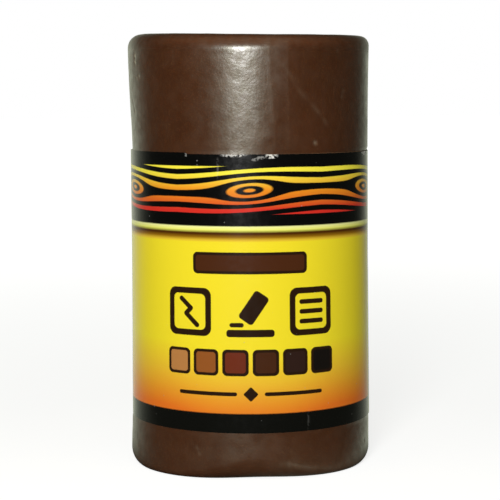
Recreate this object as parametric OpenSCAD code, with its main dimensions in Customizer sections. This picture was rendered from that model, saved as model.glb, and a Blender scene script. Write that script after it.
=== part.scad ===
// Furniture repair wax stick: a cast cylinder of soft filler wax with a printed
// paper label wrapped round it, bonded down and lapped over itself at the back.
// Millimetres. +Z runs up the stick, the origin is the centre of its base, and
// the front of the label faces -Y.

/* [Wax stick] */
// Height of the wax stick
stick_h = 45.2; // [40:0.1:60]
// Diameter of the wax under the label
barrel_d = 25.3; // [18:0.1:32]
// Swell of the top end beyond the barrel, on the radius
top_swell = 0.2; // [0.05:0.05:0.4]
// Swell of the foot beyond the barrel, on the radius
foot_swell = 0.25; // [0.05:0.05:0.4]
// Radius of the rounded edge at the top
top_edge_r = 1.5; // [0.6:0.1:2.5]
// Radius of the rounded edge at the foot
foot_edge_r = 1.4; // [0.8:0.1:3]
// Width of the flat rim round the hollow in the top face
rim_w = 3; // [1:0.1:5]
// Depth of the shallow hollow that the cooling wax leaves in the top face
hollow_depth = 0.4; // [0.1:0.1:1.2]

/* [Label] */
// Height of the label
label_h = 28.25; // [18:0.05:34]
// Height of the label's lower edge above the base
label_z = 4.95; // [3.5:0.05:8]
// Thickness of the label's paper
paper_t = 0.08; // [0.06:0.01:0.15]
// Thickness of the adhesive film behind the paper
adhesive_t = 0.03; // [0.02:0.01:0.06]
// Length of the overlap where the label closes on itself
lap_w = 6; // [3:0.5:12]
// Direction that the seam faces, counted from +X towards +Y
seam_angle = 90; // [0:5:355]

/* [Label print] */
// Height of the dark band along the label's top edge
head_band_h = 7.15; // [4:0.05:10]
// Height of the pale rule under the dark band
rule_h = 0.6; // [0.3:0.1:1.5]
// Height of the dark band along the label's lower edge
foot_band_h = 2; // [1:0.1:4]

/* [Hidden] */

// Steps along each rounded edge and along the hollow, in the profile
arc_steps = 12;
$fn = 180;

wax_brown = [0.29, 0.2, 0.14];
glue_clear = [0.86, 0.83, 0.72];
ink_black = [0.07, 0.065, 0.06];
rule_yellow = [0.99, 0.98, 0.6];
panel_yellow = [0.95, 0.83, 0.18];

// Wax
barrel_r = barrel_d / 2;
crown_r = barrel_r + top_swell;
foot_r = barrel_r + foot_swell;
hollow_r = crown_r - top_edge_r - rim_w;
label_top = label_z + label_h;

// Label, from the wax outwards: adhesive, paper, then the overlap on top of both
paper_r = barrel_r + adhesive_t;
paper_out_r = paper_r + paper_t;
lap_r = paper_out_r + adhesive_t;
lap_out_r = lap_r + paper_t;

// Angles at the seam: the overlap, the paper's step up on to itself, and the
// line of adhesive between that step and the edge where the label starts
full_turn = 360;
lap_a = arc_angle(lap_w, lap_r);
step_a = arc_angle(paper_t, paper_r);
line_a = arc_angle(adhesive_t, paper_r);
step_end_a = full_turn - line_a;
step_start_a = step_end_a - step_a;
lap_end_a = full_turn + lap_a;
// Reach of the wedges that cut rings to length in plan
wedge_reach = 2 * lap_out_r;

// Print, from the lower edge up
panel_z = label_z + foot_band_h;
head_z = label_top - head_band_h;
rule_z = head_z - rule_h;
panel_h = rule_z - panel_z;

// Angle in degrees of an arc of the given length on the given radius
function arc_angle(length, radius) = length / radius * 180 / PI;

// Points of a round edge about [x, z], from one angle to another
function edge_points(x, z, r, from, to) = [
  for (i = [0:arc_steps])
    let (a = from + (to - from) * i / arc_steps)
    [x + r * cos(a), z + r * sin(a)]
];

// Points of the hollow, from its rim in to the stick's axis
function hollow_points() = [
  for (i = [0:arc_steps])
    let (reach_share = 1 - i / arc_steps)
    [hollow_r * reach_share, stick_h - hollow_depth * (1 - pow(reach_share, 2))]
];

// Ring in plan, from radius r out to radius out_r
module ring(r, out_r) {
  difference() {
    circle(r = out_r);
    circle(r = r);
  }
}

// The same ring between two angles, counted from the label's starting edge
module ring_part(r, out_r, from, to) {
  intersection() {
    ring(r, out_r);
    polygon([
      [0, 0],
      wedge_reach * [cos(from), sin(from)],
      wedge_reach * [cos(to), sin(to)]
    ]);
  }
}

// Adhesive in the seam: a line beside the starting edge, then the film under the overlap
module seam_film() {
  ring_part(paper_r, lap_r, step_end_a, full_turn);
  ring_part(paper_out_r, lap_r, step_end_a, lap_end_a);
}

// Paper in plan: once round the wax, then up and over its own start
module paper_turn() {
  difference() {
    union() {
      ring(paper_r, paper_out_r);
      ring_part(paper_r, lap_out_r, step_start_a, lap_end_a);
    }
    seam_film();
  }
}

// Raises a plan to a height, with the seam turned to its side of the stick
module wrap(z, h) {
  translate([0, 0, z]) rotate([0, 0, seam_angle]) linear_extrude(h) children();
}

// Cast wax, waisted where the label grips it
module wax_stick() {
  color(wax_brown)
    rotate_extrude()
      polygon(concat(
        [[0, 0]],
        edge_points(foot_r - foot_edge_r, foot_edge_r, foot_edge_r, -90, 0),
        [[barrel_r, label_z], [barrel_r, label_top]],
        edge_points(crown_r - top_edge_r, stick_h - top_edge_r, top_edge_r, 0, 90),
        hollow_points()
      ));
}

// Film that bonds the paper to the wax, and the overlap to the paper under it
module label_adhesive() {
  color(glue_clear)
    wrap(label_z, label_h) {
      ring(barrel_r, paper_r);
      seam_film();
    }
}

// Printed paper label: dark foot band, yellow panel, pale rule and dark head band
module printed_label() {
  color(ink_black) wrap(label_z, foot_band_h) paper_turn();
  color(panel_yellow) wrap(panel_z, panel_h) paper_turn();
  color(rule_yellow) wrap(rule_z, rule_h) paper_turn();
  color(ink_black) wrap(head_z, head_band_h) paper_turn();
}

wax_stick();
label_adhesive();
printed_label();
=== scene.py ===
"""Looks of a furniture repair wax stick: cast soft wax in a printed paper label, lapped at the back."""

import logging
import math
from dataclasses import dataclass
from enum import Enum, IntEnum

import bpy
import numpy as np
from mathutils import Euler, Matrix, Vector, noise


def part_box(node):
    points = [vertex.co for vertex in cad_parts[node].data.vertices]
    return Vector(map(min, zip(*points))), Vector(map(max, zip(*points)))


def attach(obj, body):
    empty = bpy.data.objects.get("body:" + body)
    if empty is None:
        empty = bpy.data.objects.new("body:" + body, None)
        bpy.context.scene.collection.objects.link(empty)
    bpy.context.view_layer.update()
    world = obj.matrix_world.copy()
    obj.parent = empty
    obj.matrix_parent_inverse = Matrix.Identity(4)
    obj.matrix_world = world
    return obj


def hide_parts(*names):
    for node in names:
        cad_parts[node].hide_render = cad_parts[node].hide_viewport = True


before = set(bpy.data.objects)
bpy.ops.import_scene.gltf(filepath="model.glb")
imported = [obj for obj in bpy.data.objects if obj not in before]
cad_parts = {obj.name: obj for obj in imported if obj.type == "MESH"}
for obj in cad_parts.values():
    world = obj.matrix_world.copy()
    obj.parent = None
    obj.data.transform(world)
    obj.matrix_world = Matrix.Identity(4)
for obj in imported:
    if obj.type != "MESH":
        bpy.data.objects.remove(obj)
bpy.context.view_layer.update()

Material = bpy.types.Material
Piece = bpy.types.Object
Socket = bpy.types.NodeSocket
Tree = bpy.types.NodeTree
# A mask, and the colour that it lays over the print below it
Layer = tuple[Socket, Socket | tuple[float, float, float, float]]

LOG = logging.getLogger("wax_stick")
MM = 0.001
FULL_TURN = 2 * math.pi
# The front of the stick faces -Y, and the label's seam is at the back
FRONT = -math.pi / 2


class Tone(Enum):
    """Colours of the stick's surfaces, as sRGB hex."""

    WAX_DEEP = "#46230E"
    WAX_BODY = "#4A2610"
    WAX_PALE = "#4F2913"
    # Painted light: lighter wax for the top rounding, where light from above falls
    WAX_PAINTED_TOP_LIGHT = "#5C3118"
    # Pale wax for dust, scratches and chips, and also for painted sheen
    WAX_BLOOM_AND_SHEEN = "#7A6450"
    WAX_CHIP = "#E2D6B8"
    WAX_GLINT = "#F7FFDE"
    INK_BLACK = "#060606"
    # Black of the foot band, painted lighter as a painted reflection of the floor
    INK_FOOT_PAINTED_REFLECTION = "#0E0E0B"
    INK_BROWN = "#2B190C"
    RULE_PALE = "#FCFCA8"
    RULE_YELLOW = "#F6F668"
    PANEL_YELLOW = "#FAE62C"
    PANEL_AMBER = "#F4C632"
    PANEL_ORANGE = "#EE7A22"
    SHADE_BROWN = "#512A03"
    SHADE_AMBER = "#9A6C0C"
    SHADE_GOLD = "#EDC534"
    CHIP_OAK = "#C08448"
    CHIP_HONEY = "#9C5A26"
    CHIP_CHERRY = "#74301A"
    CHIP_WALNUT = "#4B2915"
    CHIP_TEAK = "#33201A"
    CHIP_EBONY = "#17120F"
    FLAME_TOP = "#FFF14A"
    FLAME_MIDDLE = "#F59A22"
    FLAME_FOOT = "#DE3226"
    PAPER_CORE = "#E9E6DE"
    PAPER_SCUFF = "#A9A8A2"
    GLUE = "#7C5C40"
    GLUE_DUST = "#54402F"
    FLOOR = "#B9B9B7"
    BACKDROP = "#F2F8DF"


class LabelFace(IntEnum):
    """Material slots of the label: its printed face and rim, and its bare back."""

    PRINT = 0
    CORE = 1


def linear(tone: Tone) -> tuple[float, float, float, float]:
    """Turns an sRGB hex colour into linear light.

    Args:
        tone: The colour.

    Returns:
        Red, green, blue and an alpha of one.
    """
    parts = [int(tone.value[i:i + 2], 16) / 255 for i in (1, 3, 5)]
    light = [p / 12.92 if p <= 0.04045 else ((p + 0.055) / 1.055) ** 2.4 for p in parts]
    return (*light, 1.0)


def node(tree: Tree, kind: str, inputs: dict | None = None, out: int | str = 0,
         stops: list[tuple[float, Tone]] | None = None, **settings: object) -> Socket | None:
    """Adds one shader node with its settings and links.

    Args:
        tree: The node tree to add to.
        kind: The node's type, without its ShaderNode prefix.
        inputs: Values or sockets, keyed by input name or index.
        out: Name or index of the output that is wanted.
        stops: Places and colours of a colour ramp.
        settings: The node's own settings.

    Returns:
        The wanted output socket, or None from a node that has no outputs.
    """
    made = tree.nodes.new("ShaderNode" + kind)
    for name, value in settings.items():
        setattr(made, name, value)
    for key, value in (inputs or {}).items():
        if isinstance(value, Socket):
            tree.links.new(value, made.inputs[key])
        else:
            made.inputs[key].default_value = value
    if stops:
        ramp = made.color_ramp.elements
        while len(ramp) < len(stops):
            ramp.new(1.0)
        for element, (place, tone) in zip(ramp, stops):
            element.position = place
            element.color = linear(tone)
    return made.outputs[out] if made.outputs else None


def new_material(name: str) -> tuple[Material, Tree]:
    """Starts an empty node material.

    Args:
        name: The material's name.

    Returns:
        The material and its cleared node tree.
    """
    material = bpy.data.materials.new(name)
    material.use_nodes = True
    material.node_tree.nodes.clear()
    return material, material.node_tree


def per_metre(size_mm: float) -> float:
    """Pattern scale, per metre of Object coordinates, for features of a size in millimetres."""
    return 1 / (size_mm * MM)


def smooth(x: np.ndarray, low: float, high: float) -> np.ndarray:
    """Eases from 0 at low to 1 at high."""
    t = np.clip((x - low) / (high - low), 0, 1)
    return t * t * (3 - 2 * t)


def bell(x: np.ndarray, centre: float, reach: float) -> np.ndarray:
    """Soft hump of height one round a centre, nearly gone at its reach."""
    return np.exp(-2 * ((x - centre) / reach) ** 2)


def read_points(piece: Piece) -> np.ndarray:
    """Places of a piece's vertices, in metres."""
    places = np.empty(len(piece.data.vertices) * 3)
    piece.data.vertices.foreach_get("co", places)
    return places.reshape(-1, 3)


def write_points(piece: Piece, places: np.ndarray) -> None:
    """Moves a piece's vertices to new places, in metres."""
    piece.data.vertices.foreach_set("co", places.ravel())
    piece.data.update()


def write_attribute(piece: Piece, name: str, values: np.ndarray) -> None:
    """Stores one number for each vertex, for the piece's material to read."""
    attribute = piece.data.attributes.new(name, "FLOAT", "POINT")
    attribute.data.foreach_set("value", values.astype(np.float32))


def noise_at(places: np.ndarray, size: float, seed: float) -> np.ndarray:
    """Smooth noise between about -1 and 1.

    Args:
        places: Points, in the same unit as size.
        size: Size of the noise's lumps.
        seed: Shift that tells one use of the noise from another.

    Returns:
        One number for each point.
    """
    shift = Vector((seed, 2 * seed, 3 * seed))
    return np.array([noise.noise(Vector(p) / size + shift) for p in places])


def start_mesh(name: str) -> Piece:
    """Names the primitive that was just added and enters edit mode on it alone."""
    piece = bpy.context.object
    piece.name = piece.data.name = name
    bpy.ops.object.mode_set(mode="EDIT")
    return piece


@dataclass(frozen=True)
class WaxFinish:
    """Soft filler wax: cast, handled and slightly greasy, so it is satin with a mottled shine."""

    name: str = "cast_soft_wax"
    lump_mm: float = 7.0
    mottle_mm: float = 1.6
    grain_mm: float = 0.25
    rub_mm: float = 0.4
    rub_stretch: float = 9.0
    speck_mm: float = 0.45
    ior: float = 1.5
    scatter_mm: float = 0.8
    scatter_share: float = 0.12
    grain_depth_mm: float = 0.0085
    grease: tuple[float, float] = (0.46, 1.0)
    grease_shine: tuple[float, float] = (0.235, 0.34)
    grease_ior: float = 1.78
    smear_mm: float = 0.8

    def material(self) -> Material:
        """Builds the wax material.

        Returns:
            The material.
        """
        made, tree = new_material(self.name)
        place = node(tree, "TexCoord", out="Object")
        # Rub marks from packing are drawn out along the stick
        drawn = node(tree, "Mapping", {"Vector": place, "Scale": (1.0, 1.0, self.rub_stretch)},
                     vector_type="TEXTURE")
        lumps, mottle, specks, grain, smear, rub = (
            node(tree, "TexNoise", {"Vector": at, "Scale": per_metre(size), "Detail": detail})
            for at, size, detail in (
                (place, self.lump_mm, 3.0), (place, self.mottle_mm, 4.0), (place, self.speck_mm, 1.0),
                (place, self.grain_mm, 3.0), (place, self.smear_mm, 4.0), (drawn, self.rub_mm, 3.0)))
        scuff_and_sheen, haze, painted_top_light = (node(tree, "Attribute", attribute_name=name, out="Fac")
                               for name in ("scuff_and_sheen", "haze", "painted_top_light"))
        blend = node(tree, "Math", {0: lumps, 1: mottle}, operation="ADD")
        blend = node(tree, "MapRange", {0: blend, 1: 0.7, 2: 1.3})
        colour = node(tree, "ValToRGB", {0: blend}, stops=[
            (0.0, Tone.WAX_DEEP), (0.5, Tone.WAX_BODY), (1.0, Tone.WAX_PALE)])
        dust = node(tree, "MapRange", {0: specks, 1: 0.78, 2: 0.84, 4: 0.35})
        pale = node(tree, "Math", {0: dust, 1: scuff_and_sheen}, operation="MAXIMUM", use_clamp=True)
        chipped = node(tree, "MapRange", {0: scuff_and_sheen, 1: 1.0, 2: 2.0})
        bloom_and_sheen = node(tree, "ValToRGB", {0: chipped}, stops=[(0.0, Tone.WAX_BLOOM_AND_SHEEN), (1.0, Tone.WAX_CHIP)])
        # Painted light on the top rounding, then the pale layer of dust, scratches, chips and painted sheen
        for mask, over in ((painted_top_light, linear(Tone.WAX_PAINTED_TOP_LIGHT)), (pale, bloom_and_sheen)):
            colour = node(tree, "Mix", {0: mask, 6: colour, 7: over}, out=2, data_type="RGBA")
        shine = node(tree, "MapRange", {0: mottle, 1: 0.35, 2: 0.65, 3: 0.33, 4: 0.45})
        shine = node(tree, "Math", {0: pale, 1: 0.2, 2: shine}, operation="MULTIPLY_ADD")
        # Grease from the hand lies on the wax in smears
        grease = node(tree, "MapRange", {0: smear, 1: 0.36, 2: 0.64, 3: self.grease[0], 4: self.grease[1]})
        film = node(tree, "MapRange", {0: haze, 3: self.grease_shine[0], 4: self.grease_shine[1]})
        ripple = node(tree, "Math", {0: rub, 1: 0.5, 2: grain}, operation="MULTIPLY_ADD")
        relief = node(tree, "Bump", {"Height": ripple, "Strength": 1.0, "Distance": self.grain_depth_mm * MM})
        surface = node(tree, "BsdfPrincipled", {
            "Base Color": colour, "Roughness": shine, "Normal": relief, "IOR": self.ior,
            "Subsurface Weight": self.scatter_share, "Subsurface Radius": (1.0, 0.5, 0.3),
            "Subsurface Scale": self.scatter_mm * MM, "Specular Tint": linear(Tone.WAX_GLINT),
            "Coat Weight": grease, "Coat Roughness": film, "Coat IOR": self.grease_ior,
            "Coat Normal": relief})
        node(tree, "OutputMaterial", {"Surface": surface})
        return made


@dataclass(frozen=True)
class Artwork:
    """Drawing tools for the flat label, in millimetres. A mask is one on the ink and zero off it."""

    tree: Tree
    place: Socket
    ink_edge: float = 0.03
    frame_line: float = 0.3
    frame_corners: tuple[float, float] = (0.5, 0.3)

    def patch(self, centre: tuple[float, float], size: tuple[float, float], corner: float,
              turn: float = 0.0) -> Socket:
        """Draws a box with round corners.

        Args:
            centre: Middle of the box.
            size: Width and height of the box.
            corner: Radius of its corners.
            turn: Turn of the box, in radians.

        Returns:
            The mask.
        """
        own = node(self.tree, "Mapping", {"Vector": self.place, "Location": (*centre, 0.0),
                                          "Rotation": (0.0, 0.0, turn)}, vector_type="TEXTURE")
        own = node(self.tree, "VectorMath", {0: own}, operation="ABSOLUTE")
        core = (size[0] / 2 - corner, size[1] / 2 - corner, 0.0)
        own = node(self.tree, "VectorMath", {0: own, 1: core}, operation="SUBTRACT")
        own = node(self.tree, "VectorMath", {0: own, 1: (0.0, 0.0, 0.0)}, operation="MAXIMUM")
        gap = node(self.tree, "VectorMath", {0: own}, operation="LENGTH", out="Value")
        return node(self.tree, "MapRange", {0: gap, 1: corner - self.ink_edge, 2: corner + self.ink_edge,
                                            3: 1.0, 4: 0.0})

    def joined(self, masks: list[Socket]) -> Socket:
        """Mask that covers all the given masks."""
        cover = masks[0]
        for mask in masks[1:]:
            cover = node(self.tree, "Math", {0: cover, 1: mask}, operation="MAXIMUM")
        return cover

    def strokes(self, points: list[tuple[float, float]], width: float) -> Socket:
        """Draws a pen line of one width through points, with round ends."""
        masks = []
        for (x0, y0), (x1, y1) in zip(points, points[1:]):
            long = math.hypot(x1 - x0, y1 - y0)
            masks.append(self.patch(((x0 + x1) / 2, (y0 + y1) / 2), (long + width, width), width / 2,
                                    math.atan2(y1 - y0, x1 - x0)))
        return self.joined(masks)

    def framed(self, centre: tuple[float, float], side: float, line: float) -> Socket:
        """Draws a square frame with round corners."""
        outer = self.patch(centre, (side, side), side / 6)
        inner = self.patch(centre, (side - 2 * line, side - 2 * line), side / 6 - line / 2)
        return node(self.tree, "Math", {0: outer, 1: inner}, operation="SUBTRACT", use_clamp=True)

    def filled(self, centre: tuple[float, float], size: tuple[float, float], tone: Tone) -> list[Layer]:
        """Draws a box of one tone with a line of brown ink round it.

        Args:
            centre: Middle of the box.
            size: Width and height of the box, with its line.
            tone: Colour inside the line.

        Returns:
            The two layers of ink.
        """
        width, height = size
        line = 2 * self.frame_line
        outer, inner = self.frame_corners
        return [(self.patch(centre, size, outer), linear(Tone.INK_BROWN)),
                (self.patch(centre, (width - line, height - line), inner), linear(tone))]


@dataclass(frozen=True)
class PrintFinish:
    """Coated label paper, printed and varnished: smooth satin, worn to the paper along its top edge."""

    length_mm: float
    height_mm: float
    front_mm: float
    foot_band_mm: float = 2.0
    head_band_mm: float = 7.235
    rule_mm: float = 0.515
    shade_mm: float = 1.12
    fade_mm: float = 6.8
    sag_mm: float = 0.5
    sag_from_mm: tuple[float, float] = (2.0, 11.0)
    ink_edge_mm: float = 0.03
    band_edge_mm: float = 0.06
    rule_fade_mm: float = 0.15
    grain_period_mm: float = 15.7
    grain_pitch_mm: float = 1.0
    grain_line_mm: float = 0.46
    grain_reach_mm: float = 2.45
    grain_edge_mm: float = 0.05
    knot_r_mm: float = 0.95
    knot_stretch: float = 3.2
    knot_drift: float = 0.35
    ring_share: float = 0.62
    ring_mm: tuple[float, float] = (0.1, 0.18)
    eye_mm: tuple[float, float] = (0.14, 0.22)
    swatch_z_mm: float = 17.3
    swatch_mm: tuple[float, float] = (12.0, 2.2)
    sign_z_mm: float = 12.3
    sign_mm: float = 4.9
    sign_line_mm: float = 0.62
    sign_step_mm: float = 6.5
    chip_z_mm: float = 7.2
    chip_mm: float = 2.7
    chip_step_mm: float = 3.1
    divider_z_mm: float = 4.0
    divider_mm: tuple[float, float] = (1.6, 7.5)
    divider_line_mm: float = 0.4
    bead_mm: float = 1.1
    bead_corner_mm: float = 0.15
    fibre_mm: float = 0.5
    fibre_depth_mm: float = 0.03
    flake_mm: float = 0.26
    speck_mm: float = 0.3
    ior: float = 1.5
    pigment: float = 0.28
    gloss: float = 0.12
    varnish: float = 0.6
    name: str = "printed_label_paper"

    def grain(self, art: Artwork, across: Socket, up: Socket,
              middle: float) -> Socket:
        """Draws a strip of wood grain that flows round knots.

        Args:
            art: Drawing tools on the flat label.
            across: Distance along the label, in millimetres.
            up: Height on the label, in millimetres.
            middle: Height of the strip's middle.

        Returns:
            The mask of the grain lines.
        """
        tree = art.tree
        period = self.grain_period_mm
        x = node(tree, "Math", {0: across, 1: -period / 2, 2: period / 2}, operation="WRAP")
        x = node(tree, "Math", {0: x, 1: self.knot_stretch}, operation="DIVIDE")
        drift = node(tree, "Math", {0: across, 1: math.pi / period}, operation="MULTIPLY")
        drift = node(tree, "Math", {0: drift}, operation="SINE")
        y = node(tree, "Math", {0: up, 1: middle}, operation="SUBTRACT")
        y_knot = node(tree, "Math", {0: drift, 1: -self.knot_drift, 2: y}, operation="MULTIPLY_ADD")
        away = node(tree, "CombineXYZ", {0: x, 1: y_knot})
        away = node(tree, "VectorMath", {0: away}, operation="LENGTH", out="Value")
        outside = node(tree, "Math", {0: away, 1: self.knot_r_mm}, operation="MAXIMUM")
        push = node(tree, "Math", {0: self.knot_r_mm, 1: outside}, operation="DIVIDE")
        push = node(tree, "Math", {0: push, 1: 2.0}, operation="POWER")
        keep = node(tree, "Math", {0: 1.0, 1: push}, operation="SUBTRACT")
        flow = node(tree, "Math", {0: y_knot, 1: keep}, operation="MULTIPLY")
        half = self.grain_pitch_mm / 2
        line = node(tree, "Math", {0: flow, 1: half}, operation="PINGPONG")
        line = node(tree, "MapRange", {0: line, 1: half - self.grain_line_mm / 2 - self.ink_edge_mm,
                                       2: half - self.grain_line_mm / 2 + self.ink_edge_mm})
        ring = node(tree, "Math", {0: away, 1: self.knot_r_mm * self.ring_share}, operation="SUBTRACT")
        ring = node(tree, "Math", {0: ring}, operation="ABSOLUTE")
        edge = node(tree, "Math", {0: y}, operation="ABSOLUTE")
        strip = (self.grain_reach_mm - self.grain_edge_mm, self.grain_reach_mm)
        ring, eye, inside = (
            node(tree, "MapRange", {0: gap, 1: full, 2: gone, 3: 1.0, 4: 0.0})
            for gap, (full, gone) in ((ring, self.ring_mm), (away, self.eye_mm), (edge, strip)))
        drawn = art.joined([line, ring, eye])
        return node(tree, "Math", {0: drawn, 1: inside}, operation="MULTIPLY")

    def signs(self, art: Artwork) -> Socket:
        """Draws three signs: a scratched board, a stick rubbed along it, and the board mended.

        Args:
            art: Drawing tools on the flat label.

        Returns:
            The mask of their ink.
        """
        side, line, step, middle = self.sign_mm, self.sign_line_mm, self.sign_step_mm, self.sign_z_mm
        low = middle - side / 2
        scratch = art.strokes([(-step - 0.9, middle + 1.3), (-step + 0.2, middle + 0.35),
                               (-step - 0.35, middle - 0.2), (-step + 0.9, middle - 1.35)], 0.5)
        stick = art.patch((0.35, middle + 0.5), (1.7, 3.3), 0.35, -0.6)
        board = art.patch((0.0, low + 0.35), (side, 0.75), 0.3)
        trail = art.strokes([(-1.9, low + 1.2), (-0.9, low + 1.2)], 0.45)
        grain = [art.strokes([(step - 1.15, middle + rise), (step + 1.15, middle + rise)], 0.48)
                 for rise in (1.0, 0.0, -1.0)]
        frames = [art.framed((place, middle), side, line) for place in (-step, step)]
        return art.joined([*frames, scratch, stick, board, trail, *grain])

    def artwork(self, art: Artwork) -> list[Layer]:
        """Draws the signs, the divider, the swatch and the chips on the panel.

        Args:
            art: Drawing tools on the flat label.

        Returns:
            Layers of ink, from the panel up.
        """
        bar_z = self.divider_z_mm
        near, far = self.divider_mm
        bars = [art.strokes([(x0, bar_z), (x1, bar_z)], self.divider_line_mm)
                for x0, x1 in ((-far, -near), (near, far))]
        bead = art.patch((0.0, bar_z), (self.bead_mm, self.bead_mm), self.bead_corner_mm, math.pi / 4)
        layers = [(art.joined([self.signs(art), *bars, bead]), linear(Tone.INK_BROWN))]
        # Swatch in the wax's own colour, and a row of chips in the colours that such wax comes in
        layers += art.filled((0.0, self.swatch_z_mm), self.swatch_mm, Tone.WAX_PALE)
        chips = [tone for tone in Tone if tone.name.startswith("CHIP_")]
        for i, tone in enumerate(chips):
            x = (i - (len(chips) - 1) / 2) * self.chip_step_mm
            layers += art.filled((x, self.chip_z_mm), (self.chip_mm, self.chip_mm), tone)
        return layers

    def material(self) -> Material:
        """Builds the printed paper material.

        Returns:
            The material.
        """
        made, tree = new_material(self.name)
        sheet = node(tree, "UVMap", uv_map="sheet")
        place = node(tree, "Mapping", {"Vector": sheet, "Location": (-self.front_mm, 0.0, 0.0),
                                       "Scale": (self.length_mm, self.height_mm, 1.0)})
        across = node(tree, "SeparateXYZ", {0: place}, out="X")
        up = node(tree, "SeparateXYZ", {0: place}, out="Y")
        head = self.height_mm - self.head_band_mm
        rule = head - self.rule_mm
        soft = self.band_edge_mm
        # Panel: yellow, sagging towards an orange foot in the middle, with a brown shade under the rule
        side = node(tree, "Math", {0: across}, operation="ABSOLUTE")
        sag = node(tree, "MapRange", {0: side, 1: self.sag_from_mm[0], 2: self.sag_from_mm[1],
                                      3: self.sag_mm, 4: -self.sag_mm}, interpolation_type="SMOOTHSTEP")
        rise = node(tree, "Math", {0: up, 1: sag}, operation="ADD")
        rise = node(tree, "MapRange", {0: rise, 1: self.foot_band_mm, 2: self.foot_band_mm + self.fade_mm})
        colour = node(tree, "ValToRGB", {0: rise}, stops=[
            (0.0, Tone.PANEL_ORANGE), (0.55, Tone.PANEL_AMBER), (1.0, Tone.PANEL_YELLOW)])
        depth = node(tree, "MapRange", {0: up, 1: rule - self.shade_mm, 2: rule})
        shade = node(tree, "ValToRGB", {0: depth}, stops=[
            (0.0, Tone.PANEL_YELLOW), (0.2, Tone.SHADE_GOLD), (0.48, Tone.SHADE_AMBER),
            (0.76, Tone.SHADE_BROWN)])
        layers = [(node(tree, "MapRange", {0: depth, 1: 0.0, 2: 0.1}), shade)]
        art = Artwork(tree, place, self.ink_edge_mm)
        layers += self.artwork(art)
        # Bands and rule that run right round
        above = node(tree, "MapRange", {0: up, 1: rule - self.rule_fade_mm, 2: rule + self.rule_fade_mm})
        pale = node(tree, "MapRange", {0: up, 1: rule, 2: head})
        pale = node(tree, "ValToRGB", {0: pale}, stops=[(0.1, Tone.RULE_YELLOW), (0.9, Tone.RULE_PALE)])
        band = node(tree, "MapRange", {0: up, 1: head - soft, 2: head + soft})
        foot = node(tree, "MapRange", {0: up, 1: self.foot_band_mm - soft, 2: self.foot_band_mm + soft,
                                       3: 1.0, 4: 0.0})
        # The foot band's black is painted lighter than the head band's, a painted reflection of the floor
        layers += [(above, pale), (band, linear(Tone.INK_BLACK)), (foot, linear(Tone.INK_FOOT_PAINTED_REFLECTION))]
        middle = self.height_mm - self.head_band_mm / 2
        grain = self.grain(art, across, up, middle)
        heat = node(tree, "MapRange", {0: up, 1: middle - self.grain_reach_mm,
                                       2: middle + self.grain_reach_mm})
        flame = node(tree, "ValToRGB", {0: heat}, stops=[
            (0.1, Tone.FLAME_FOOT), (0.5, Tone.FLAME_MIDDLE), (0.85, Tone.FLAME_TOP)])
        layers.append((grain, flame))
        # Wear: bare paper along the top edge, where the ink has rubbed off in flakes
        wear = node(tree, "Attribute", attribute_name="wear", out="Fac")
        skin = node(tree, "TexCoord", out="Object")
        flake, speck, fibre = (
            node(tree, "TexNoise", {"Vector": skin, "Scale": per_metre(size), "Detail": detail})
            for size, detail in ((self.flake_mm, 2.0), (self.speck_mm, 0.0), (self.fibre_mm, 4.0)))
        flake = node(tree, "MapRange", {0: flake, 1: 0.4, 2: 0.54})
        worn = node(tree, "Math", {0: wear, 1: flake}, operation="MULTIPLY")
        speck = node(tree, "MapRange", {0: speck, 1: 0.87, 2: 0.91, 4: 0.35})
        layers += [(worn, linear(Tone.PAPER_CORE)), (speck, linear(Tone.PAPER_SCUFF))]
        for mask, over in layers:
            colour = node(tree, "Mix", {0: mask, 6: colour, 7: over}, out=2, data_type="RGBA")
        shine = node(tree, "MapRange", {0: fibre, 1: 0.3, 2: 0.7, 3: 0.17, 4: 0.23})
        shine = node(tree, "Math", {0: worn, 1: 0.5, 2: shine}, operation="MULTIPLY_ADD", use_clamp=True)
        relief = node(tree, "Bump", {"Height": fibre, "Strength": 0.25, "Distance": self.fibre_depth_mm * MM})
        surface = node(tree, "BsdfPrincipled", {
            "Base Color": colour, "Roughness": shine, "Normal": relief, "IOR": self.ior,
            "Specular IOR Level": self.gloss, "Diffuse Roughness": self.pigment,
            "Coat Weight": self.varnish, "Coat Roughness": shine, "Coat Normal": relief})
        node(tree, "OutputMaterial", {"Surface": surface})
        return made


@dataclass(frozen=True)
class CoreFinish:
    """Back of the label paper: uncoated, fibrous and dull."""

    name: str = "label_paper_core"
    fibre_mm: float = 0.25

    def material(self) -> Material:
        """Builds the bare paper material."""
        made, tree = new_material(self.name)
        place = node(tree, "TexCoord", out="Object")
        fibre = node(tree, "TexNoise", {"Vector": place, "Scale": per_metre(self.fibre_mm), "Detail": 4.0})
        colour = node(tree, "ValToRGB", {0: fibre}, stops=[(0.3, Tone.PAPER_SCUFF), (0.6, Tone.PAPER_CORE)])
        relief = node(tree, "Bump", {"Height": fibre, "Strength": 0.4, "Distance": 0.02 * MM})
        surface = node(tree, "BsdfPrincipled", {"Base Color": colour, "Roughness": 0.85, "Normal": relief})
        node(tree, "OutputMaterial", {"Surface": surface})
        return made


@dataclass(frozen=True)
class GlueFinish:
    """Acrylic label adhesive: a thin clear film, brown from the wax behind it and dusty along its edge."""

    name: str = "acrylic_adhesive"
    dust_mm: float = 0.6
    ior: float = 1.47

    def material(self) -> Material:
        """Builds the adhesive material."""
        made, tree = new_material(self.name)
        place = node(tree, "TexCoord", out="Object")
        dust = node(tree, "TexNoise", {"Vector": place, "Scale": per_metre(self.dust_mm), "Detail": 4.0})
        colour = node(tree, "ValToRGB", {0: dust}, stops=[(0.35, Tone.GLUE_DUST), (0.6, Tone.GLUE)])
        shine = node(tree, "MapRange", {0: dust, 3: 0.35, 4: 0.65})
        surface = node(tree, "BsdfPrincipled", {"Base Color": colour, "Roughness": shine, "IOR": self.ior})
        node(tree, "OutputMaterial", {"Surface": surface})
        return made


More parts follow.
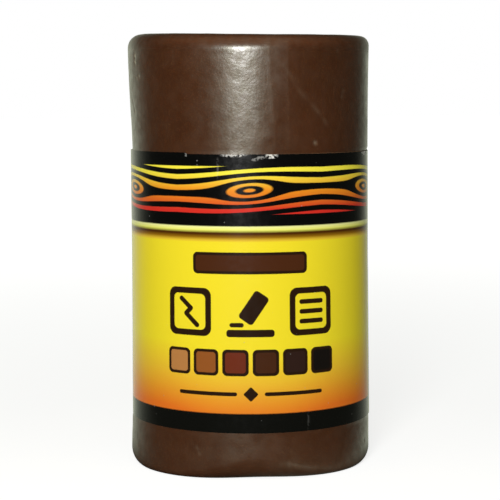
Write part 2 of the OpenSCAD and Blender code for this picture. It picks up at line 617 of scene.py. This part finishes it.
@dataclass(frozen=True)
class Backdrop:
    """White wall behind the stick, a little to its left, under a pale ceiling in a dim room."""

    turn: float = math.radians(9)
    edge: float = 0.42
    full: float = 0.93
    wall: float = 0.74
    room_light: float = 0.05
    top: tuple[float, float] = (0.1, 0.45)
    ceiling: float = 0.3
    ceiling_edge: tuple[float, float] = (0.65, 0.95)
    ceiling_lean: float = math.radians(25)

    def level(self, tree: Tree, way: Socket) -> Socket:
        """Brightness of the surroundings in a direction from the stick.

        Args:
            tree: The node tree of the world or the floor.
            way: The direction, of length one.

        Returns:
            The brightness, one for white.
        """
        facing = (-math.sin(self.turn), math.cos(self.turn), 0.0)
        behind = node(tree, "VectorMath", {0: way, 1: facing}, operation="DOT_PRODUCT", out="Value")
        behind = node(tree, "MapRange", {0: behind, 1: self.edge, 2: self.full})
        behind = node(tree, "Math", {0: behind, 1: 2.0}, operation="POWER")
        rise = node(tree, "SeparateXYZ", {0: way}, out="Z")
        below = node(tree, "MapRange", {0: rise, 1: self.top[0], 2: self.top[1], 3: 1.0, 4: 0.0})
        wall = node(tree, "Math", {0: behind, 1: below}, operation="MULTIPLY")
        wall = node(tree, "MapRange", {0: wall, 3: self.room_light, 4: self.wall})
        over = (0.0, -math.sin(self.ceiling_lean), math.cos(self.ceiling_lean))
        ceiling = node(tree, "VectorMath", {0: way, 1: over}, operation="DOT_PRODUCT", out="Value")
        ceiling = node(tree, "MapRange", {0: ceiling, 1: self.ceiling_edge[0], 2: self.ceiling_edge[1],
                                          4: self.ceiling})
        return node(tree, "Math", {0: wall, 1: ceiling}, operation="MAXIMUM")


@dataclass(frozen=True)
class FloorFinish:
    """Matt white studio floor that keeps the stick's shadow, and is part of the backdrop in reflections."""

    backdrop: Backdrop
    name: str = "studio_floor"
    seen_from_mm: tuple[float, float] = (7.5, -18.0)
    shade_mm: tuple[float, float] = (13.0, 18.0)
    shade_least: float = 0.12
    lift: tuple[float, float] = (0.8, 0.98)
    reach_mm: tuple[float, float] = (40.0, 250.0)

    def material(self) -> Material:
        """Builds the floor material."""
        made, tree = new_material(self.name)
        place = node(tree, "TexCoord", out="Object")
        away = node(tree, "VectorMath", {0: place}, operation="LENGTH", out="Value")
        lift = node(tree, "MapRange", {0: away, 1: self.reach_mm[0] * MM, 2: self.reach_mm[1] * MM,
                                       3: self.lift[0], 4: self.lift[1]})
        direct = node(tree, "LightPath", out="Is Camera Ray")
        glow = node(tree, "Math", {0: direct, 1: lift}, operation="MULTIPLY")
        surface = node(tree, "BsdfPrincipled", {
            "Base Color": linear(Tone.FLOOR), "Roughness": 0.9, "Specular IOR Level": 0.1,
            "Emission Color": (1.0, 1.0, 1.0, 1.0), "Emission Strength": glow})
        way = node(tree, "VectorMath", {0: place, 1: (*(side * MM for side in self.seen_from_mm), 0.0)},
                   operation="SUBTRACT")
        way = node(tree, "VectorMath", {0: way}, operation="NORMALIZE")
        shade = node(tree, "MapRange", {0: away, 1: self.shade_mm[0] * MM, 2: self.shade_mm[1] * MM,
                                        3: self.shade_least})
        level = node(tree, "Math", {0: shade, 1: self.backdrop.level(tree, way)}, operation="MULTIPLY")
        mirrored = node(tree, "Emission", {"Color": linear(Tone.BACKDROP), "Strength": level})
        glossy = node(tree, "LightPath", out="Is Glossy Ray")
        surface = node(tree, "MixShader", {0: glossy, 1: surface, 2: mirrored})
        node(tree, "OutputMaterial", {"Surface": surface})
        return made


@dataclass(frozen=True)
class Station:
    """One height of the wax: how far the wall swells beyond the barrel there, and how far it leans to +X."""

    z: float
    swell: float
    lean: float


@dataclass(frozen=True)
class Parting:
    """A line up the crown where the mould closed: its arc from the front at the label and at the top."""

    low: float
    high: float
    proud: float


@dataclass(frozen=True)
class Scratch:
    """A scratch in the wax, from one place to another: arc from the front, and height."""

    start: tuple[float, float]
    end: tuple[float, float]
    width: float
    depth: float
    pale: float


@dataclass(frozen=True)
class Pit:
    """A pit or chip in the wax: its arc from the front, and height."""

    arc: float
    z: float
    reach: float
    depth: float
    pale: float


@dataclass(frozen=True)
class Lump:
    """One scale of the wax's unevenness: its name, the size of its lumps and their depth."""

    name: str
    size: float
    depth: float


@dataclass
class WaxCasting:
    """The solid stick of wax, a little swollen and uneven beyond its label. Sizes in millimetres."""

    height: float
    label_low: float
    label_high: float
    barrel_r: float
    top_edge: float = 1.5
    foot_edge: float = 1.4
    rim: float = 3.0
    hollow: float = 0.4
    segments: int = 448
    row: float = 0.17
    top_tilt: float = 0.015
    top_saddle: float = 0.25
    stations: tuple[Station, ...] = (
        Station(0.0, 0.22, -0.1), Station(2.2, 0.22, -0.1), Station(3.4, 0.19, -0.07),
        Station(4.9, 0.17, -0.05), Station(33.2, -0.06, 0.1), Station(34.4, -0.04, 0.09),
        Station(36.5, 0.015, 0.05), Station(38.7, 0.07, 0.01), Station(40.7, 0.125, -0.03),
        Station(43.2, 0.2, -0.035), Station(45.2, 0.21, -0.02))
    partings: tuple[Parting, ...] = (
        Parting(2.56, 2.01, 0.012), Parting(3.92, 3.95, 0.008), Parting(-36.2, -36.4, 0.01))
    parting_reach: float = 0.22
    scratches: tuple[Scratch, ...] = (
        Scratch((3.33, 42.25), (4.05, 41.25), 0.3, 0.005, 0.1),
        Scratch((4.05, 41.25), (5.2, 39.4), 0.3, 0.005, 0.12),
        Scratch((5.2, 39.4), (7.1, 37.6), 0.34, 0.006, 0.16),
        Scratch((7.1, 37.6), (8.3, 36.3), 0.32, 0.007, 0.22),
        Scratch((-8.06, 43.5), (-7.95, 42.8), 0.2, 0.01, 0.16),
        Scratch((10.94, 39.55), (10.58, 38.8), 0.18, 0.03, 0.4),
        Scratch((-5.6, 3.4), (-5.2, 2.6), 0.18, 0.02, 0.3),
        Scratch((-14.72, 43.05), (-14.76, 42.25), 0.3, 0.05, 2.0),
        Scratch((-18.0, 41.2), (-15.5, 37.4), 0.25, 0.04, 0.3),
        Scratch((24.0, 42.2), (27.0, 40.7), 0.3, 0.05, 0.35),
        Scratch((-30.0, 36.2), (-34.0, 38.7), 0.3, 0.05, 0.3))
    pits: tuple[Pit, ...] = (
        Pit(6.95, 34.25, 0.3, 0.14, 1.0), Pit(-14.45, 40.75, 0.22, 0.05, 1.6),
        Pit(-13.82, 40.95, 0.26, 0.05, 1.6), Pit(9.9, 43.5, 0.2, 0.06, 0.3),
        Pit(21.0, 37.2, 0.3, 0.1, 0.3), Pit(33.0, 41.4, 0.4, 0.12, 0.4),
        Pit(-27.0, 35.1, 0.3, 0.1, 0.3), Pit(15.5, 2.4, 0.25, 0.08, 0.3))
    lumps: tuple[Lump, ...] = (
        Lump("wax_swell", 6.0, 0.06), Lump("wax_wave", 2.6, 0.02), Lump("wax_dimple", 0.7, 0.013))
    lump_levels: int = 20
    foot_lumps: float = 0.5
    # Radius of the top edge at the sides, and what is added in front and to the right
    top_rounding: tuple[float, float, float] = (1.25, 0.32, -0.25)
    # Least radius of the foot's edge, and what is added in front and at the back
    foot_rounding: tuple[float, float, float] = (0.5, 1.8, 0.9)
    rounding_reach: float = 3.5
    dull_z: tuple[float, float] = (37.0, 41.5)
    mismatch_arcs: tuple[float, float, float] = (-1.2, 2.3, 8.0)
    mismatch: float = 0.075
    slump: float = 0.15
    slump_turns: tuple[float, float] = (-0.85, 0.85)

    def along(self, z: np.ndarray, values: list[float]) -> np.ndarray:
        """Blends values given at the stations over a smooth window.

        Args:
            z: Heights.
            values: One value for each station.

        Returns:
            One value for each height.
        """
        heights = [station.z for station in self.stations]
        window = np.linspace(-0.9, 0.9, 13)
        return np.interp(np.asarray(z)[..., None] + window, heights, values).mean(-1)

    def wall_r(self, z: np.ndarray) -> np.ndarray:
        """Radius of the wall at each height."""
        bare = self.barrel_r + self.along(z, [station.swell for station in self.stations])
        hidden = (z > self.label_low) & (z < self.label_high)
        return np.where(hidden, np.minimum(bare, self.barrel_r - 0.01), bare)

    def beyond_label(self, z: np.ndarray, start: float, full: float) -> np.ndarray:
        """One on the bare wax, easing in between two distances from the label's edges."""
        return np.maximum(smooth(-z, start - self.label_low, full - self.label_low),
                          smooth(z, self.label_high + start, self.label_high + full))

    def profile(self) -> list[Vector]:
        """Half outline of the stick, from the middle of the base to the middle of the top.

        Returns:
            Points in metres, in the XZ plane.
        """
        low_z, high_z = self.foot_edge, self.height - self.top_edge
        foot_r, crown_r = (float(self.wall_r(np.array(z))) for z in (low_z, high_z))
        base_r, flat_r = foot_r - self.foot_edge, crown_r - self.top_edge
        hollow_r = flat_r - self.rim
        turn = np.linspace(0, math.pi / 2, 17)
        line = [(r, 0.0) for r in np.linspace(0, base_r, 16)]
        line += [(base_r + self.foot_edge * math.sin(a), self.foot_edge * (1 - math.cos(a)))
                 for a in turn[1:]]
        for low, high, row in ((low_z, self.label_low, self.row), (self.label_low, self.label_high, 2.5),
                               (self.label_high, high_z, self.row)):
            heights = np.linspace(low, high, max(2, round((high - low) / row)) + 1)[1:]
            line += list(zip(self.wall_r(heights), heights))
        line += [(flat_r + self.top_edge * math.cos(a), high_z + self.top_edge * math.sin(a))
                 for a in turn[1:]]
        line += [(r, self.height) for r in np.linspace(flat_r, hollow_r, 9)[1:]]
        line += [(r, self.height - self.hollow * (1 - (r / hollow_r) ** 2))
                 for r in np.linspace(hollow_r, 0, 20)[1:]]
        return [Vector((r * MM, 0.0, z * MM)) for r, z in line]

    def turn_body(self) -> Piece:
        """Draws the half outline point by point and spins it into a closed body."""
        bpy.ops.object.select_all(action="DESELECT")
        bpy.ops.mesh.primitive_plane_add(size=self.barrel_r * MM)
        piece = start_mesh("cast_wax")
        bpy.ops.mesh.merge(type="CENTER")
        line = self.profile()
        bpy.ops.transform.translate(value=line[0])
        for here, there in zip(line, line[1:]):
            bpy.ops.mesh.extrude_vertices_move(TRANSFORM_OT_translate={"value": there - here})
        bpy.ops.mesh.select_all(action="SELECT")
        bpy.ops.mesh.spin(steps=self.segments, angle=FULL_TURN, center=(0, 0, 0), axis=(0, 0, 1))
        bpy.ops.mesh.remove_doubles(threshold=0.0001 * MM)
        bpy.ops.mesh.normals_make_consistent(inside=False)
        bpy.ops.object.mode_set(mode="OBJECT")
        return piece

    def round_edges(self, piece: Piece) -> None:
        """Makes the rounded edges fuller in front and tighter at the sides, as the casting left them."""
        places = read_points(piece) / MM
        x, y, z = places.T
        radius = np.hypot(x, y)
        facing = -y / np.maximum(radius, 0.01)
        leaning = x / np.maximum(radius, 0.01)
        stretch = self.rounding_reach
        for end, edge, top in ((self.height, self.top_edge, True), (0.0, self.foot_edge, False)):
            away = end - z if top else z
            wall = float(self.wall_r(np.array(end - edge if top else edge)))
            if top:
                least, front, right = self.top_rounding
                wanted = least + front * np.clip(facing, 0, 1) ** 2 + right * leaning
            else:
                turned = np.arctan2(leaning, facing)
                least, front, back = self.foot_rounding
                wanted = least + front * bell(turned, 0.06, 0.62) + back * smooth(np.abs(turned), 0.95, 1.7)
            ratio = wanted / edge
            on_edge = (away < edge + 0.001) & (radius > wall - edge)
            on_wall = (away >= edge + 0.001) & (away < stretch)
            on_end = (away < edge + 0.001) & ~on_edge
            pulled = stretch - (stretch - away) * (stretch - wanted) / (stretch - edge)
            new_away = np.where(on_wall, pulled, np.where(on_edge, away * ratio, away))
            new_radius = np.where(on_edge, wall - (wall - radius) * ratio, radius)
            new_radius = np.where(on_end, radius * (wall - wanted) / (wall - edge), new_radius)
            grow = new_radius / np.maximum(radius, 0.001)
            x, y = x * grow, y * grow
            z = end - new_away if top else new_away
            radius = new_radius
        write_points(piece, np.stack((x, y, z), 1) * MM)

    def lump(self, piece: Piece) -> None:
        """Gives the bare wax its uneven cast surface with applied displacement."""
        bare = piece.vertex_groups.new(name="bare")
        z = read_points(piece)[:, 2] / MM
        clear = self.beyond_label(z, 0.1, 0.8) * smooth(z, 0.0, 0.5)
        clear *= np.where(z < self.label_low, self.foot_lumps, 1.0)
        levels = np.rint(clear * self.lump_levels).astype(int)
        for level in range(1, self.lump_levels + 1):
            bare.add(np.nonzero(levels == level)[0].tolist(), level / self.lump_levels, "REPLACE")
        for lump in self.lumps:
            texture = bpy.data.textures.new(lump.name, type="CLOUDS")
            texture.noise_scale = lump.size * MM
            texture.noise_depth = 2
            push = piece.modifiers.new(lump.name, "DISPLACE")
            push.texture = texture
            push.texture_coords = "LOCAL"
            push.direction = "NORMAL"
            push.strength = lump.depth * MM
            push.vertex_group = "bare"
            bpy.ops.object.modifier_apply(modifier=push.name)
        piece.vertex_groups.clear()

    def mark(self, piece: Piece) -> None:
        """Leans the wall, and cuts the parting lines, scratches, pits and chips into the wax."""
        places = read_points(piece) / MM
        x, y, z = places.T
        radius = np.hypot(x, y)
        angle = np.arctan2(y, x) - FRONT
        angle = (angle + math.pi) % FULL_TURN - math.pi
        arc = angle * self.barrel_r
        wall = smooth(radius, self.barrel_r - 1.4, self.barrel_r - 0.5)
        depth = np.zeros(len(places))
        scuff_and_sheen = np.zeros(len(places))
        crown = wall * smooth(z, self.label_high, self.label_high + 1)
        half_turn = math.pi * self.barrel_r
        offs = []
        for line in self.partings:
            off = arc - np.interp(z, (self.label_high, self.height), (line.low, line.high))
            offs.append((off + half_turn) % (2 * half_turn) - half_turn)
            ridge = bell(offs[-1], 0.0, self.parting_reach) * crown
            depth -= line.proud * ridge
            scuff_and_sheen += 0.05 * ridge
        # The strip between the first two lines is duller, most of all near the top
        strip = smooth(offs[0], -1.5, 1.6) * (1 - smooth(offs[1], -0.15, 0.15))
        haze = strip * crown * smooth(z, *self.dull_z)
        # Painted highlight: the strip is also painted paler, most near the first line
        scuff_and_sheen += 0.2 * haze * (1 - 0.7 * smooth(offs[0], 0.2, 1.6))
        haze = np.maximum(haze, 0.75 * crown * smooth(z, self.height - 2.0, self.height - 1.2))
        # Painted light: the top rounding is painted lighter, most in front, as light from above falls on it
        painted_top_light = smooth(z, self.height - 1.5, self.height - 0.6) * smooth(radius, 9.5, 11.0)
        painted_top_light *= 0.2 + 0.8 * smooth(np.cos(angle), 0.5, 0.95)
        # One half of the mould stood a little proud, which stretches the shine towards its parting line
        start, full, gone = self.mismatch_arcs
        proud = smooth(arc, start, full) * (1 - smooth(arc, full, gone))
        depth -= self.mismatch * proud * wall * smooth(z, self.label_high, self.label_high + 2)
        for cut in self.scratches:
            run = np.subtract(cut.end, cut.start)
            off_arc, off_z = arc - cut.start[0], z - cut.start[1]
            t = np.clip((off_arc * run[0] + off_z * run[1]) / (run @ run), 0, 1)
            line = bell(np.hypot(off_arc - t * run[0], off_z - t * run[1]), 0.0, cut.width) * wall
            depth += cut.depth * line
            scuff_and_sheen += cut.pale * line * (0.6 + 0.4 * np.sin(9 * t))
        for pit in self.pits:
            spot = bell(np.hypot(arc - pit.arc, z - pit.z), 0.0, pit.reach) * wall
            depth += pit.depth * spot
            scuff_and_sheen += pit.pale * spot
        # Painted sheen: the foot is painted a little paler, for the floor's reflection in it
        scuff_and_sheen += 0.05 * (1 - smooth(z, 1.0, self.label_low + 1))
        # The soft foot has slumped outwards to either side of the front
        sides = sum(bell(angle, turn, 0.5) for turn in self.slump_turns)
        shrink = 1 - depth / np.maximum(radius, 1.0)
        shrink += self.slump / self.barrel_r * sides * (1 - smooth(z, 0.8, self.label_low - 0.3))
        bare = self.beyond_label(z, 0.0, 0.4)
        x = x * shrink + bare * self.along(z, [station.lean for station in self.stations])
        y = y * shrink
        rise = self.top_saddle * (x / self.barrel_r) ** 2 - self.top_tilt * x
        z = z + rise * smooth(z, self.label_high + 4, self.height)
        write_points(piece, np.stack((x, y, z), 1) * MM)
        for name, values in (("scuff_and_sheen", np.clip(scuff_and_sheen, 0, 2)), ("haze", haze), ("painted_top_light", painted_top_light)):
            write_attribute(piece, name, values)

    def build(self, finish: WaxFinish) -> Piece:
        """Makes the wax stick.

        Args:
            finish: Its finish.

        Returns:
            The finished piece.
        """
        piece = self.turn_body()
        self.round_edges(piece)
        self.lump(piece)
        self.mark(piece)
        piece.data.materials.append(finish.material())
        bpy.ops.object.shade_smooth()
        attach(piece, "root")
        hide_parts("wax_stick")
        return piece


@dataclass(frozen=True)
class WearMark:
    """One worn spot of the print: arc from the label's front, and distance below its top edge."""

    arc: float
    below: float
    wide: float
    tall: float
    bare: float


@dataclass
class PaperLabel:
    """The printed sheet, wrapped once round the wax and lapped over its start. Sizes in millimetres."""

    low: float
    high: float
    outer_r: float
    paper: float = 0.08
    glue: float = 0.03
    lap: float = 6.0
    columns: int = 540
    rows: int = 52
    edge_rows: int = 18
    edge_depth: float = 1.0
    ramp: float = 1.4
    taper: tuple[float, float, float] = (0.08, -0.055, -0.065)
    tilt: float = 0.0036
    frayed: float = 0.012
    torn: float = 0.06
    frayed_mm: float = 0.5
    high_corner: float = 0.16
    ripple: float = 0.012
    ripple_mm: float = 7.0
    curl: float = 0.12
    wear: tuple[WearMark, ...] = (
        WearMark(2.25, 0.14, 0.7, 0.36, 1.0), WearMark(1.15, 0.34, 0.5, 0.2, 0.3),
        WearMark(0.6, 0.52, 0.5, 0.2, 0.24),
        WearMark(-1.6, 0.05, 1.5, 0.28, 0.7), WearMark(-3.23, 1.2, 0.14, 1.0, 0.08),
        WearMark(-3.23, 1.55, 0.15, 0.4, 0.14), WearMark(-6.75, 0.1, 0.11, 0.24, 0.35),
        WearMark(6.05, 27.2, 0.16, 0.9, 0.05), WearMark(15.9, 0.1, 0.9, 0.3, 0.9),
        WearMark(-22.0, 0.1, 1.2, 0.3, 0.8), WearMark(30.0, 28.2, 1.5, 0.25, 0.8))

    @property
    def length(self) -> float:
        """Length of the flat sheet."""
        return FULL_TURN * self.outer_r + self.lap

    @property
    def front(self) -> float:
        """Distance from the sheet's starting edge to the front of the stick."""
        return FULL_TURN * self.outer_r / 2

    def height_lines(self) -> np.ndarray:
        """Heights of the sheet's rows above its lower edge, close together along the top."""
        plain = np.linspace(0, self.high - self.low - self.edge_depth, self.rows - self.edge_rows + 1)
        edge = np.linspace(plain[-1], self.high - self.low, self.edge_rows + 1)
        return np.concatenate((plain, edge[1:]))

    def flat_sheet(self) -> Piece:
        """Adds the flat sheet as a grid, one face for each cell."""
        bpy.ops.object.select_all(action="DESELECT")
        bpy.ops.mesh.primitive_grid_add(x_subdivisions=self.columns, y_subdivisions=self.rows, size=1.0)
        piece = start_mesh("label_sheet")
        bpy.ops.transform.translate(value=(0.5, 0.5, 0.0))
        bpy.ops.object.mode_set(mode="OBJECT")
        return piece

    def wrap(self, piece: Piece) -> None:
        """Sets the rows to their heights, wears the top edge and wraps the sheet round the stick."""
        places = read_points(piece)
        along = places[:, 0] * self.length
        lines = self.height_lines()
        up = lines[np.rint(places[:, 1] * self.rows).astype(int)]
        arc = along - self.front
        tall = self.high - self.low
        near = smooth(up, tall - self.edge_depth, tall)
        below = tall - up
        wear = np.zeros(len(places))
        for mark in self.wear:
            spot = bell(arc, mark.arc, mark.wide) * bell(below, mark.below, mark.tall)
            wear = np.maximum(wear, mark.bare * np.clip(4 * spot - 0.6, 0, 1))
        none = np.zeros_like(arc)
        ragged = noise_at(np.stack((arc, none, none), 1), self.frayed_mm, 3.0)
        step = self.high_corner * smooth(-arc, 6.6, 6.9) * smooth(arc, -30, -26)
        up = up + near * (step - (self.frayed + self.torn * wear) * (0.5 + ragged))
        # The sheet climbs on to its own start before the end of the first turn
        turn = FULL_TURN * self.outer_r
        climb = (self.paper + self.glue) * smooth(along, turn - self.ramp - self.paper, turn - self.paper)
        ripple = noise_at(np.stack((arc, up, none), 1), self.ripple_mm, 11.0)
        lift = self.ripple * (1 + ripple) + np.interp(up, (0.0, 0.6 * tall, tall), self.taper)
        lift += self.curl * smooth(along, self.length - 2.0, self.length) * smooth(up, tall - 3.0, tall)
        radius = self.outer_r + climb + lift
        angle = FRONT + arc / self.outer_r
        flat = np.stack((along / self.length, up / tall), 1)
        x, y = radius * np.cos(angle), radius * np.sin(angle)
        write_points(piece, np.stack((x, y, up + self.low - self.tilt * x), 1) * MM)
        write_attribute(piece, "wear", wear)
        sheet = piece.data.uv_layers[0]
        sheet.name = "sheet"
        corners = np.empty(len(piece.data.loops), int)
        piece.data.loops.foreach_get("vertex_index", corners)
        sheet.data.foreach_set("uv", flat[corners].ravel())

    def build(self, print_finish: PrintFinish, core_finish: CoreFinish) -> Piece:
        """Makes the label.

        Args:
            print_finish: Finish of its printed face and rim.
            core_finish: Finish of its back.

        Returns:
            The finished piece.
        """
        piece = self.flat_sheet()
        self.wrap(piece)
        for finish in (print_finish, core_finish):
            piece.data.materials.append(finish.material())
        thick = piece.modifiers.new("paper", "SOLIDIFY")
        thick.thickness = self.paper * MM
        thick.offset = -1.0
        thick.material_offset = LabelFace.CORE
        thick.material_offset_rim = LabelFace.PRINT
        bpy.ops.object.modifier_apply(modifier=thick.name)
        bpy.ops.object.shade_smooth_by_angle(angle=math.radians(40))
        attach(piece, "root")
        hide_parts("printed_label")
        return piece


@dataclass
class AdhesiveFilm:
    """The film behind the label, kept as the CAD made it."""

    node_name: str = "label_adhesive"

    def dress(self, finish: GlueFinish) -> Piece:
        """Gives the film its finish.

        Args:
            finish: Its finish.

        Returns:
            The CAD piece.
        """
        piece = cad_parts[self.node_name]
        piece.data.materials.clear()
        piece.data.materials.append(finish.material())
        return piece


@dataclass
class Studio:
    """Floor, lights, backdrop and camera. Sizes in millimetres."""

    aim_z: float = 22.7
    key_distance: float = 185.0
    key_size: tuple[float, float] = (54.0, 30.0)
    key_turn: float = math.radians(-8)
    key_rise: float = math.radians(15)
    key_power: float = 0.258
    backdrop: Backdrop = Backdrop()
    camera_distance: float = 176.5
    camera_z: float = 38.84
    camera_x: float = 0.01
    pitch: float = 0.0927
    roll: float = -0.0071
    lens: float = 118.05
    floor_side: float = 6000.0

    def floor(self) -> Piece:
        """Lays the floor."""
        bpy.ops.object.select_all(action="DESELECT")
        bpy.ops.mesh.primitive_plane_add(size=self.floor_side * MM)
        piece = bpy.context.object
        piece.name = "studio_floor"
        piece.data.materials.append(FloorFinish(self.backdrop).material())
        return piece

    def room(self) -> None:
        """Sets a white backdrop behind the stick and a dim room in front of it."""
        world = bpy.data.worlds.new("studio_room")
        bpy.context.scene.world = world
        world.use_nodes = True
        tree = world.node_tree
        tree.nodes.clear()
        way = node(tree, "TexCoord", out="Generated")
        direct = node(tree, "LightPath", out="Is Camera Ray")
        colour = node(tree, "Mix", {0: direct, 6: linear(Tone.BACKDROP), 7: (1.0, 1.0, 1.0, 1.0)}, out=2,
                      data_type="RGBA")
        level = node(tree, "Math", {0: self.backdrop.level(tree, way), 1: direct}, operation="MAXIMUM")
        sky = node(tree, "Background", {"Color": colour, "Strength": level})
        node(tree, "OutputWorld", {"Surface": sky})

    def key(self) -> None:
        """Hangs the soft key light above and a little left of the camera."""
        lamp = bpy.data.lights.new("key", "AREA")
        lamp.energy = self.key_power
        lamp.shape = "ELLIPSE"
        lamp.size, lamp.size_y = (side * MM for side in self.key_size)
        holder = bpy.data.objects.new("key", lamp)
        bpy.context.scene.collection.objects.link(holder)
        aim = Vector((0, 0, self.aim_z))
        way = Vector((math.cos(self.key_rise) * math.sin(self.key_turn),
                      -math.cos(self.key_rise) * math.cos(self.key_turn), math.sin(self.key_rise)))
        holder.location = (aim + way * self.key_distance) * MM
        holder.rotation_euler = way.to_track_quat("Z", "Y").to_euler()
        holder.visible_camera = False

    def camera(self) -> None:
        """Sets the camera level with the top of the label, looking slightly down."""
        data = bpy.data.cameras.new("camera")
        data.lens = self.lens
        data.clip_start = 0.01
        camera = bpy.data.objects.new("camera", data)
        bpy.context.scene.collection.objects.link(camera)
        camera.location = Vector((self.camera_x, -self.camera_distance, self.camera_z)) * MM
        tilt = Euler((math.pi / 2 - self.pitch, 0, 0)).to_matrix()
        camera.rotation_euler = (tilt @ Matrix.Rotation(self.roll, 3, "Z")).to_euler()
        bpy.context.scene.camera = camera

    def build(self) -> None:
        """Sets up the whole studio."""
        bpy.context.scene.view_settings.view_transform = "Standard"
        self.floor()
        self.room()
        self.key()
        self.camera()


def main() -> None:
    """Builds the stick piece by piece, then the studio round it."""
    logging.basicConfig(level=logging.INFO, format="%(name)s: %(message)s")
    wax_low, wax_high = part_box("wax_stick")
    label_low, label_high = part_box("printed_label")
    label = PaperLabel(low=label_low.z / MM, high=label_high.z / MM, outer_r=label_high.x / MM)
    casting = WaxCasting(height=wax_high.z / MM, label_low=label.low, label_high=label.high,
                         barrel_r=label.outer_r - label.paper - label.glue)
    pieces = [
        casting.build(WaxFinish()),
        label.build(PrintFinish(label.length, label.high - label.low, label.front), CoreFinish()),
        AdhesiveFilm().dress(GlueFinish()),
    ]
    for piece in pieces:
        LOG.info("%s: %d faces", piece.name, len(piece.data.polygons))
    Studio().build()


if __name__ == "__main__":
    main()
